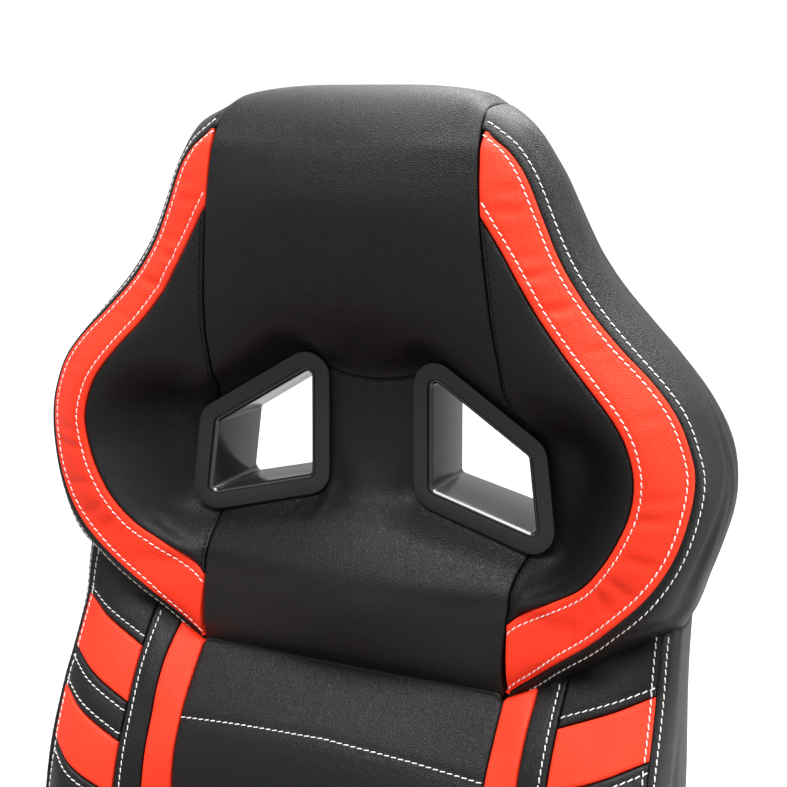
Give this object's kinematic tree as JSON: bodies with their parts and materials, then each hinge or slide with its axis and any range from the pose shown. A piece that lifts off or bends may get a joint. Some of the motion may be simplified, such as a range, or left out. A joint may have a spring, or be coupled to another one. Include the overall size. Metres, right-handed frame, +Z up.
{
  "type": "racing seat",
  "caption": "Reclining bucket-style sport seat on slide rails, with a winged backrest, harness openings, recline lever and pull bar.",
  "frame": {"origin": "centre of the four floor bolt holes, at the underside of the crossbars", "axes": "+Z up from the floor, the seat faces -Y, +X to the right of the picture"},
  "size_m": [0.5311, 0.6814, 0.9925],
  "materials": {
    "black_leather": "pebbled satin leather",
    "red_leather": "pebbled satin leather, red",
    "foam": "moulded foam",
    "bezel_plastic": "satin black moulding",
    "trim_plastic": "fine-grained black moulding",
    "black_steel": "black powder coat",
    "zinc_steel": "zinc plated",
    "spring_steel": "oiled spring steel",
    "cage_plastic": "natural nylon"
  },
  "bodies": {
    "rails": {"floor_crossbars": "black_steel", "lower_rail_left": "zinc_steel", "lower_rail_right": "zinc_steel", "rail_bolts": "zinc_steel", "rail_end_stops": "trim_plastic"},
    "ball_cages": {"ball_cages": "cage_plastic", "rail_balls": "zinc_steel"},
    "recliner_pawls_upper": {"recliner_pawls_upper": "zinc_steel"},
    "recliner_pawls_lower": {"recliner_pawls_lower": "zinc_steel"},
    "recline_lever": {"sync_rod": "zinc_steel", "recline_lever": "trim_plastic", "lever_grip": "trim_plastic"},
    "slide_bar": {"slide_bar": "black_steel", "slide_bar_grip": "trim_plastic"},
    "slide_latches": {"slide_latches": "zinc_steel"},
    "backrest": {"upper_bracket_left": "black_steel", "upper_bracket_right": "black_steel", "recliner_rings": "zinc_steel", "recliner_springs": "spring_steel", "bracket_bolts": "zinc_steel", "back_frame": "black_steel", "back_springs": "spring_steel", "back_foam_upper": "foam", "back_foam_lower": "foam", "head_panel": "black_leather", "flank_panel_left": "black_leather", "flank_panel_right": "black_leather", "red_band_left": "red_leather", "red_band_right": "red_leather", "side_boxing_left": "black_leather", "side_boxing_right": "black_leather", "lower_centre_panel": "black_leather", "lower_stripe_left": "red_leather", "lower_stripe_right": "red_leather", "back_bolster_left": "black_leather", "back_bolster_right": "black_leather", "back_panel": "black_leather", "bezel_left": "bezel_plastic", "bezel_right": "bezel_plastic", "rear_bezels": "bezel_plastic"},
    "seat": {"upper_rail_left": "zinc_steel", "upper_rail_right": "zinc_steel", "seat_side_frame_left": "black_steel", "seat_side_frame_right": "black_steel", "seat_cross_tubes": "black_steel", "seat_springs": "spring_steel", "seat_frame_bolts": "zinc_steel", "seat_foam": "foam", "seat_centre_panel": "black_leather", "seat_stripe_left": "red_leather", "seat_stripe_right": "red_leather", "seat_bolster_left": "black_leather", "seat_bolster_right": "black_leather", "side_cover_left": "trim_plastic", "side_cover_right": "trim_plastic", "lower_bracket_left": "black_steel", "lower_bracket_right": "black_steel", "recliner_housings": "zinc_steel", "bar_return_springs": "spring_steel"}
  },
  "joints": [
    {"name": "seat_slide", "type": "slide", "parent": "rails", "child": "seat", "axis": [0, 1, 0], "range_m": [-0.09, 0.09]},
    {"name": "cage_slide", "type": "slide", "parent": "rails", "child": "ball_cages", "axis": [0, 1, 0], "range_m": [-0.0451, 0.0451]},
    {"name": "backrest_recline", "type": "hinge", "parent": "seat", "child": "backrest", "pos_m": [0, 0.225, 0.165], "axis": [-1, 0, 0], "range_deg": [-8, 60]},
    {"name": "recline_lever", "type": "hinge", "parent": "seat", "child": "recline_lever", "pos_m": [0, 0.225, 0.165], "axis": [-1, 0, 0], "range_deg": [0, 25], "stiffness_Nm_per_rad": 2, "springref_deg": -34.38},
    {"name": "upper_pawl_slide", "type": "slide", "parent": "seat", "child": "recliner_pawls_upper", "axis": [0, 0, -1], "range_m": [0, 0.003]},
    {"name": "lower_pawl_slide", "type": "slide", "parent": "seat", "child": "recliner_pawls_lower", "axis": [0, 0, 1], "range_m": [0, 0.003]},
    {"name": "pull_bar_lift", "type": "hinge", "parent": "seat", "child": "slide_bar", "pos_m": [0, -0.06, 0.037], "axis": [-1, 0, 0], "range_deg": [0, 7], "stiffness_Nm_per_rad": 6, "springref_deg": -22.92},
    {"name": "latch_lift", "type": "slide", "parent": "seat", "child": "slide_latches", "axis": [0, 0, 1], "range_m": [0, 0.005]}
  ],
  "couplings": [
    {"joint": "cage_slide", "follows": "seat_slide", "ratio": 0.5},
    {"joint": "upper_pawl_slide", "follows": "recline_lever", "m_per_rad": 0.006853},
    {"joint": "lower_pawl_slide", "follows": "recline_lever", "m_per_rad": 0.006853},
    {"joint": "latch_lift", "follows": "pull_bar_lift", "m_per_rad": 0.04}
  ]
}
